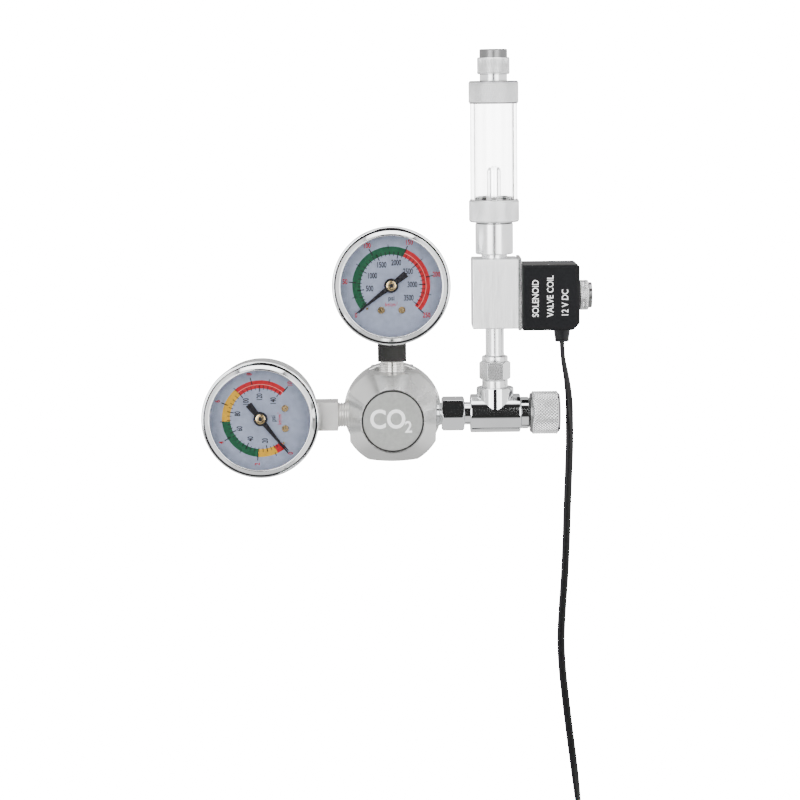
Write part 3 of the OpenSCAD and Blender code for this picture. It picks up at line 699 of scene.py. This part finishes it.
def dial_print(to_angle, zones, inner_marks, inner_fine, outer_marks, outer_fine):
    """The scale: coloured zones, a red outer scale with its numbers and a black inner one."""
    shapes = []
    for start, end, ink in zones:
        zone = band(ZONE_INNER, ZONE_OUTER, to_angle(start), to_angle(end), PRINT_Z)
        shapes.append(inked(zone, ink))
        if ink == RED and end - start > 0.2 * outer_marks[-1]:
            line = band(13.1, 13.3, to_angle(start), to_angle(end), PRINT_Z + 0.02)
            shapes.append(inked(line, PALE))
    for value in outer_fine:
        shapes.append(inked(tick(14.0, 15.6, to_angle(value), 0.28, PRINT_Z + 0.03), BLACK))
    for value in outer_marks:
        angle = to_angle(value)
        shapes.append(inked(tick(13.4, 16.2, angle, 0.38, PRINT_Z + 0.03), BLACK))
        number = words(str(value), 1.95, 0.72, 0.03)
        x, y = 17.6 * math.cos(math.radians(angle)), 17.6 * math.sin(math.radians(angle))
        shapes.append(inked(moved(number, x, y, PRINT_Z + 0.01), RED))
    for value in inner_fine:
        shapes.append(inked(tick(11.2, 12.9, to_angle(value), 0.26, PRINT_Z + 0.03), BLACK))
    for value, text in inner_marks:
        angle = to_angle(value)
        shapes.append(inked(tick(10.4, 13.0, angle, 0.36, PRINT_Z + 0.03), BLACK))
        wide = 0.34 * (len(text) - 1)
        reach = 9.0 - wide * abs(math.cos(math.radians(angle)))
        x, y = reach * math.cos(math.radians(angle)), reach * math.sin(math.radians(angle))
        shapes.append(inked(moved(words(text, 2.2, 0.62, 0.035), x, y, PRINT_Z + 0.01), BLACK))
    shapes.append(inked(moved(words("psi", 1.9, 0.85, 0.02), 0, -4.9, PRINT_Z + 0.01), BLACK))
    shapes.append(inked(moved(words("kg/cm", 1.5, 0.8, 0.02), -0.4, -7.3, PRINT_Z + 0.01), RED))
    shapes.append(inked(moved(words("2", 0.9, 0.8), 2.1, -6.8, PRINT_Z + 0.01), RED))
    return joined(*shapes)


def high_angle(pressure):
    """Where the high scale has that pressure in kg/cm2, in degrees. Its first step is shorter."""
    return 220 - 0.9 * pressure if pressure < 50 else 229 - 1.08 * pressure


def low_angle(pressure):
    """Where the low scale has that pressure in kg/cm2, in degrees."""
    return 220 - 18 * pressure if pressure < 1 else 229 - 27 * pressure


high_scale = dial_print(
    high_angle, [(0, 150, GREEN), (150, 250, RED)],
    [(KG_PER_PSI * p, str(p)) for p in range(500, 3501, 500)],
    [KG_PER_PSI * p for p in range(100, 3501, 100)],
    [0, 50, 100, 150, 200, 250], [25, 75, 125, 175, 225],
)
low_scale = dial_print(
    low_angle, [(0, 0.8, RED), (0.8, 2, YELLOW), (2, 5, GREEN), (5, 7, YELLOW), (7, 10, RED)],
    [(KG_PER_PSI * p, str(p)) for p in range(20, 141, 20)],
    [KG_PER_PSI * p for p in range(4, 141, 4)],
    [0, 2, 4, 6, 8, 10], [1, 3, 5, 7, 9],
)
dial_blue = rubbery("dial_blue", (0.235, 0.265, 0.36), 0.45, 500, 0.08, 0.3)
brass = metal("brass", (0.78, 0.58, 0.3), 0.22, 0.08)
pointer_paint = rubbery("pointer_paint", (0.006, 0.006, 0.009), 0.4, 700, 0.1, 0.2)
on_its_side = Matrix.Rotation(-math.pi / 2, 4, "Y") @ facing
for gauge, place, scale, shine in (
    ("high", Matrix.Translation((0, PORT_Y, GAUGE_REACH)) @ facing, high_scale, 0.12),
    ("low", Matrix.Translation((-GAUGE_REACH, PORT_Y, 0)) @ on_its_side, low_scale, 0.34),
):
    piece(
        spun([
            (0, -11), (17.9, -11), (18.9, -10.7), (20.8, -8.95), (21.4, -8), (21.5, -7.3),
            (21.5, 9), (20.7, 9), (20.7, -7.4), (18, -10.2), (0, -10.2),
        ], 144),
        gauge + "_shell", place, chrome, stands_for=[gauge + "_case"],
    )
    piece(
        spun([
            (21.55, 8.1), (22.1, 8), (22.45, 8.3), (22.5, 9), (22.5, 11.7), (22.4, 12.2),
            (22.1, 12.5), (21.75, 12.5), (21.65, 11.4), (21.35, 11.4), (21.25, 12.5), (20.9, 12.95),
            (20.0, 13.7), (19.7, 13.92), (19.4, 13.98), (19.15, 13.8), (19.1, 13.4),
            (19.1, 12.7), (21.5, 12.68),
        ], 144, closed=True),
        gauge + "_ring", place, chrome, stands_for=[gauge + "_bezel"], crease=50,
    )
    piece(scale, gauge + "_print", place, inks)
    piece(
        spun([
            (0, 10.15), (1.85, 10.15), (1.85, 10.4), (1.6, 10.46), (0.9, 10.46), (0.7, 10.3),
            (0, 10.3),
        ], 48),
        gauge + "_boss", place, brass, body=gauge + "_pointer",
    )
    eased(
        gauge + "_socket", gauge + "_stem", 0.35,
        metal(gauge + "_nickel", (0.8, 0.79, 0.77), shine, 0.05), limit=60,
    )


# ---- outlet adapter ----
# A chromed brass fitting screws into the body's side and into the needle valve. The hexagon
# between its two threads is for the spanner.
ADAPTER_X = 18.8


def along_x(x, z=0):
    """The place of a shape whose local z runs along +X, on the outlet's axis or at that height."""
    return Matrix.Translation((x, PORT_Y, z)) @ Matrix.Rotation(math.pi / 2, 4, "Y")


def hexagon(flats, height, turn=0):
    """A hexagon bar with its corners turned off at both ends and its edges broken."""
    corner = flats / math.sqrt(3)
    rim = 0.98 * flats / 2
    drop = 0.58 * (corner - rim)
    bm = spun([
        (0, 0), (rim, 0), (corner, drop), (corner, height - drop), (rim, height), (0, height),
    ], 96)
    cut_flats(bm, flats / 2, [turn + 60 * k for k in range(6)])
    return ease(bm, 0.12, 2, 40)


def thread(reach, low, turns, pitch):
    """Thread ridges, as the rings they look like from outside."""
    points = [(0, low)]
    for k in range(turns):
        points += [(reach - 0.45 * pitch, low + k * pitch), (reach, low + (k + 0.5) * pitch)]
    points += [(reach - 0.45 * pitch, low + turns * pitch), (0, low + turns * pitch)]
    return spun(points, 64)


piece(
    joined(
        thread(4.7, -2.3, 2, 1.1), moved(hexagon(12, 8.8), 0, 0, 0, 6),
        spun([(0, 8.6), (4.4, 8.6), (4.4, 11.2), (0, 11.2)], 64),
    ),
    "adapter", along_x(ADAPTER_X), chrome, stands_for=["outlet_adapter"],
)


# ---- needle valve ----
# A turned and chromed valve body with an upright boss, a packing nut, and a diamond-knurled knob
# that moves out half a millimetre each turn.
VALVE_X = 29.8
PACKING_X = 49.2
KNOB_X = 52.8
KNOB_R = 8.45
KNOB_LONG = 11.6
RISER = (39.5, PORT_Y)
outlet_axis = ((0, PORT_Y, 0), (1, 0, 0))


def upright(z):
    """The place of a shape that stands at that height on the bubble counter's axis."""
    return Matrix.Translation((*RISER, z))


def rows(reach, low, high, step):
    """Points up a straight wall, close enough together to be knurled."""
    count = round((high - low) / step)
    return [(reach, low + (high - low) * k / count) for k in range(count + 1)]


piece(
    spun([
        (0, 0.05), (6.9, 0.05), (7.3, 0.2), (7.45, 0.6), (7.45, 18.8), (7.3, 19.2), (6.9, 19.35),
        (0, 19.35),
    ], 128),
    "valve_barrel", along_x(VALVE_X), chrome, stands_for=["needle_valve_body"],
)
piece(
    spun([
        (0, 2), (7.15, 2), (7.15, 9.6), (7.05, 10), (6.8, 10.18), (5.75, 10.18), (5.6, 10.05),
        (5.6, 9.5), (0, 9.5),
    ], 128),
    "valve_boss", upright(0), chrome,
)
piece(
    spun([
        (1.65, -3), (3.95, -3), (3.95, 0.1), (5.9, 0.1), (6.15, 0.3), (6.15, 2.9), (5.9, 3.2),
        (5.4, 3.35), (1.65, 3.35),
    ], 96, closed=True),
    "packing_ring", along_x(PACKING_X), chrome, stands_for=["packing_nut"],
)
knob_shape = spun(
    [(1.63, 0), (6.9, 0), (7.5, 0.15), (7.75, 0.75), (7.95, 0.9)]
    + rows(KNOB_R - 0.02, 1.2, 10.4, 0.21)
    + [(7.95, 10.7), (7.6, 10.95), (7.2, KNOB_LONG - 0.1), (6.8, KNOB_LONG), (0, KNOB_LONG),
       (0, 10.3), (1.63, 10.3)], 252,
)
knurled(knob_shape, KNOB_R - 0.02, 1.3, 10.3, 42, 1.26, 0.6)
bmesh.ops.remove_doubles(knob_shape, verts=knob_shape.verts, dist=0.0005)
# (7.85, 8.15) puts painted shade in the bottoms of the knob's knurl.
knob_chrome = metal(
    "knob_chrome", (0.93, 0.935, 0.94), 0.24, 0.03, outlet_axis, 0.1, (7.85, 8.15)
)
piece(
    knob_shape, "knurled_knob", along_x(KNOB_X), knob_chrome, body="needle_knob",
    stands_for=["needle_knob"], crease=24, weighted=False,
)


# ---- riser fitting and solenoid block ----
# Both are clear-anodised aluminium: a turned fitting with a hexagon, and a square block, sawn and
# sanded, that holds the solenoid valve's seat. Four countersunk screws fix the steel plate to it.
BLOCK_BASE = 33.4
BLOCK_HIGH = 26.5
BLOCK_SIDE = 17.5
riser_satin = metal("riser_satin", (0.9, 0.905, 0.91), 0.24, 0.05)
piece(
    joined(
        spun([(0, 9.4), (4.8, 9.4), (5, 9.6), (5, 12.6), (4.85, 12.9), (4.5, 13.1), (0, 13.1)], 96),
        moved(hexagon(10.5, 7.1), 0, 0, 13.1, 30),
        spun([
            (0, 20.1), (4.5, 20.1), (4.9, 20.3), (5, 20.6), (5, 21.9), (4.8, 22.2), (4.2, 22.3),
            (3.75, 22.6), (3.55, 23.2), (3.55, BLOCK_BASE), (0, BLOCK_BASE),
        ], 96),
    ),
    "riser", upright(0), riser_satin, stands_for=["riser_fitting"],
)
block_satin = metal("block_satin", (0.96, 0.965, 0.97), 0.4, 0.25, sanded=18)
half = BLOCK_SIDE / 2
square = [(half, -half), (half, half), (-half, half), (-half, -half)]
piece(
    ease(plate(square, BLOCK_BASE, BLOCK_HIGH), 0.5, 3, 40), "block", upright(0), block_satin,
    stands_for=["solenoid_block"],
)
bright_steel = metal("bright_steel", (0.62, 0.62, 0.62), 0.2, 0.08)
eased("mounting_plate", "steel_plate", 0.2, bright_steel, limit=60)


# ---- coil ----
# The winding is moulded in satin black plastic, a box with bevelled outer corners. Its rating is
# printed in white on the front. A knurled nut on the armature tube's end holds it on.
COIL_LOW, COIL_HIGH = 32.8, 57.8
COIL_NEAR, COIL_FAR = 49.6, 71.4
COIL_BACK, COIL_DEEP = 20.5, 21
ARMATURE_Z = 45.3
coil_plastic = rubbery("coil_plastic", (0.004, 0.004, 0.005), 0.36, 900, 0.25, 0.14)
coil_side = [
    (COIL_NEAR, COIL_LOW), (COIL_FAR - 2.5, COIL_LOW), (COIL_FAR, COIL_LOW + 2.5),
    (COIL_FAR, COIL_HIGH - 0.8), (COIL_FAR - 0.8, COIL_HIGH), (COIL_NEAR, COIL_HIGH),
]
piece(
    ease(plate(coil_side, COIL_BACK, COIL_DEEP), 0.6, 3, 30), "coil_box", facing, coil_plastic,
    stands_for=["coil_housing"],
)
piece(
    spun([(0, 0), (6.8, 0), (7, 0.2), (7, 0.48), (0, 0.5)], 64), "coil_washer",
    along_x(COIL_FAR - 0.02, ARMATURE_Z), coil_plastic,
)
coil_print = joined(*[
    moved(words(text, 2.5, 0.84, 0.01, "LEFT"), x, 38.0, COIL_BACK + COIL_DEEP, 90)
    for text, x in (("SOLENOID", 54.7), ("VALVE COIL", 60.3), ("12 V DC", 65.9))
])
piece(coil_print, "coil_print", facing, white_ink)
nut_shape = spun(
    [(3.05, 0), (5.3, 0), (5.6, 0.25)] + rows(5.88, 0.5, 3.1, 0.2)
    + [(5.6, 3.35), (5.2, 3.55), (4.9, 3.6), (4.9, 4.5), (4.7, 4.8), (0, 4.8), (0, 4.4),
       (3.05, 4.4)], 240,
)
knurled(nut_shape, 5.88, 0.5, 3.1, 40, 0.92, 0.4)
# (5.45, 5.7) puts painted shade in the bottoms of the nut's knurl.
coil_nut_chrome = metal(
    "coil_nut_chrome", (0.93, 0.935, 0.94), 0.16, 0.03, ((0, PORT_Y, ARMATURE_Z), (1, 0, 0)),
    0.1, (5.45, 5.7),
)
piece(
    nut_shape, "coil_thumb_nut", along_x(COIL_FAR + 0.5, ARMATURE_Z), coil_nut_chrome,
    body="coil_nut", stands_for=["coil_nut"], crease=24, weighted=False,
)


# ---- bubble counter ----
# A clear acrylic tube stands between two finely knurled aluminium collars on a turned base. The
# nozzle inside makes the bubbles. A hose is pushed on the top spigot, under a knurled nut.
counter_axis = ((*RISER, 0), (0, 0, 1))
base_satin = metal("base_satin", (0.9, 0.905, 0.91), 0.25, 0.03, counter_axis, 0.3)
piece(
    spun([
        (1.5, 54.6), (4, 54.6), (4, 60), (4.9, 60), (4.9, 61.2), (5.2, 61.4), (6.7, 61.4),
        (7.05, 61.55), (7.2, 61.9), (7.2, 72.8), (7.05, 73.15), (6.8, 73.3), (5.95, 73.35),
        (5.95, 77.7), (2.7, 77.7), (2.7, 92.9), (2.5, 93.7), (2.1, 94.4), (1.8, 94.5), (1.2, 94.5),
        (1.2, 91.6), (2.1, 91.5), (2.1, 85.6), (1.5, 85.5),
    ], 128, closed=True),
    "counter_foot", upright(0), base_satin, stands_for=["counter_base"],
)
# (9.25, 9.45) puts painted shade in the bottoms of the collars' knurl.
collar_satin = metal(
    "collar_satin", (0.94, 0.945, 0.95), 0.4, 0.03, counter_axis, 0.1, (9.25, 9.45)
)


def collar(name, node, z, reach, bore, low_bore, low_height, height, turned_over=False):
    """A knurled ring with a smooth chamfer at each end, and a narrower bore at one end. It rides
    on the body that has its CAD node's name."""
    shape = spun(
        [(low_bore, 0), (reach - 0.8, 0), (reach - 0.35, 0.15), (reach - 0.3, 0.55)]
        + rows(reach, 0.7, height - 0.7, 0.135)
        + [(reach - 0.3, height - 0.55), (reach - 0.35, height - 0.15), (reach - 0.8, height),
           (bore, height), (bore, low_height), (low_bore, low_height)], 450, closed=True,
    )
    knurled(shape, reach, 0.7, height - 0.7, 90, 0.675, 0.28)
    if turned_over:
        bmesh.ops.transform(shape, matrix=Matrix.Rotation(math.pi, 4, "X"), verts=shape.verts)
        moved(shape, 0, 0, height)
    piece(
        shape, name, upright(z), collar_satin, body=node, stands_for=[node],
        crease=24, weighted=False,
    )


collar("lower_ring", "lower_collar", 73.65, 9.68, 9.1, 6, 2.85, 8.6)
collar("upper_ring", "upper_collar", 118.4, 9.58, 9.1, 5.3, 2.4, 8.6, turned_over=True)
piece(
    spun([
        (1, 122.9), (8.8, 122.9), (8.8, 124.4), (5.4, 124.4), (5.2, 124.6), (5.2, 132.2),
        (5, 132.4), (1.95, 132.4), (1.7, 134.6), (1, 134.6),
    ], 96, closed=True),
    "hose_spigot", upright(0), base_satin, stands_for=["hose_cap"],
)
hose_nut_shape = spun(
    [(5.25, 0), (5.9, 0), (6.1, 0.25), (6.12, 0.5)] + rows(6.28, 0.7, 5.7, 0.16)
    + [(6.12, 5.9), (6.1, 6.15), (5.9, 6.35), (5.3, 6.4), (5.3, 9.1), (5.15, 9.4), (4.85, 9.5),
       (3.5, 9.5), (3.1, 9.2), (3.1, 5.2), (5.25, 5.2)], 300, closed=True,
)
knurled(hose_nut_shape, 6.28, 0.7, 5.7, 60, 0.66, 0.28)
# (5.95, 6.12) puts painted shade in the bottoms of the hose nut's knurl.
nut_satin = metal(
    "nut_satin", (0.94, 0.945, 0.95), 0.35, 0.03, counter_axis, 0.1, (5.95, 6.12)
)
piece(
    hose_nut_shape, "hose_thumb_nut", upright(129.4), nut_satin,
    body="hose_nut", stands_for=["hose_nut"], crease=24, weighted=False,
)


# ---- parts that keep their CAD shape ----
# Inside the body, the gauges and the valve: springs, poppets, movements, seals, the windows and the
# clear tube. Each takes the finish of its slot.
def clear(name, tint, roughness, alpha):
    """Glass or acrylic, with a faint change of shine."""
    material = rubbery(name, tint, roughness, 200, 0.02)
    shader = material.node_tree.nodes["Principled BSDF"]
    shader.inputs["Specular IOR Level"].default_value = 0.5
    shader.inputs["IOR"].default_value = 1.49
    if alpha < 1:
        shader.inputs["Alpha"].default_value = alpha
    else:
        shader.inputs["Transmission Weight"].default_value = 1
    return material


black_rubber = rubbery("black_rubber", (0.006, 0.006, 0.006), 0.45, 900, 0.2, 0.3)
seal_section = [
    (6.7 + 0.45 * math.cos(math.radians(a)), 82.9 + 0.45 * math.sin(math.radians(a)))
    for a in range(0, 360, 30)
]
piece(spun(seal_section, 96, closed=True), "tube_seal", upright(0), black_rubber)
finishes = {
    "spring_steel": metal("spring_steel", (0.5, 0.5, 0.52), 0.25, 0.05),
    "plain_steel": bright_steel,
    "brass": brass,
    "nickel_brass": metal("nickel_brass", (0.66, 0.63, 0.56), 0.22, 0.08),
    "sintered_bronze": metal("sintered_bronze", (0.5, 0.32, 0.17), 0.6, 0.5),
    "black_rubber": black_rubber,
    "nylon_white": rubbery("nylon_white", (0.8, 0.79, 0.75), 0.45, 600, 0.1),
    "gauge_lens": clear("window_glass", (0.02, 0.02, 0.02), 0.09, 0.06),
    "dial_face": dial_blue,
    "pointer_black": pointer_paint,
    "clear_acrylic": clear("clear_acrylic", (1, 1, 1), 0.09, 1),
    "copper_winding": metal("copper_winding", (0.72, 0.36, 0.2), 0.35, 0.3),
    "chrome": chrome,
}
slots = {p["node"]: p["material_slot"] for p in frame["record"]["subparts"]}
for name, node in frame["nodes"].items():
    if not node.hide_render and slots[name] in finishes:
        node.data.materials.clear()
        node.data.materials.append(finishes[slots[name]])
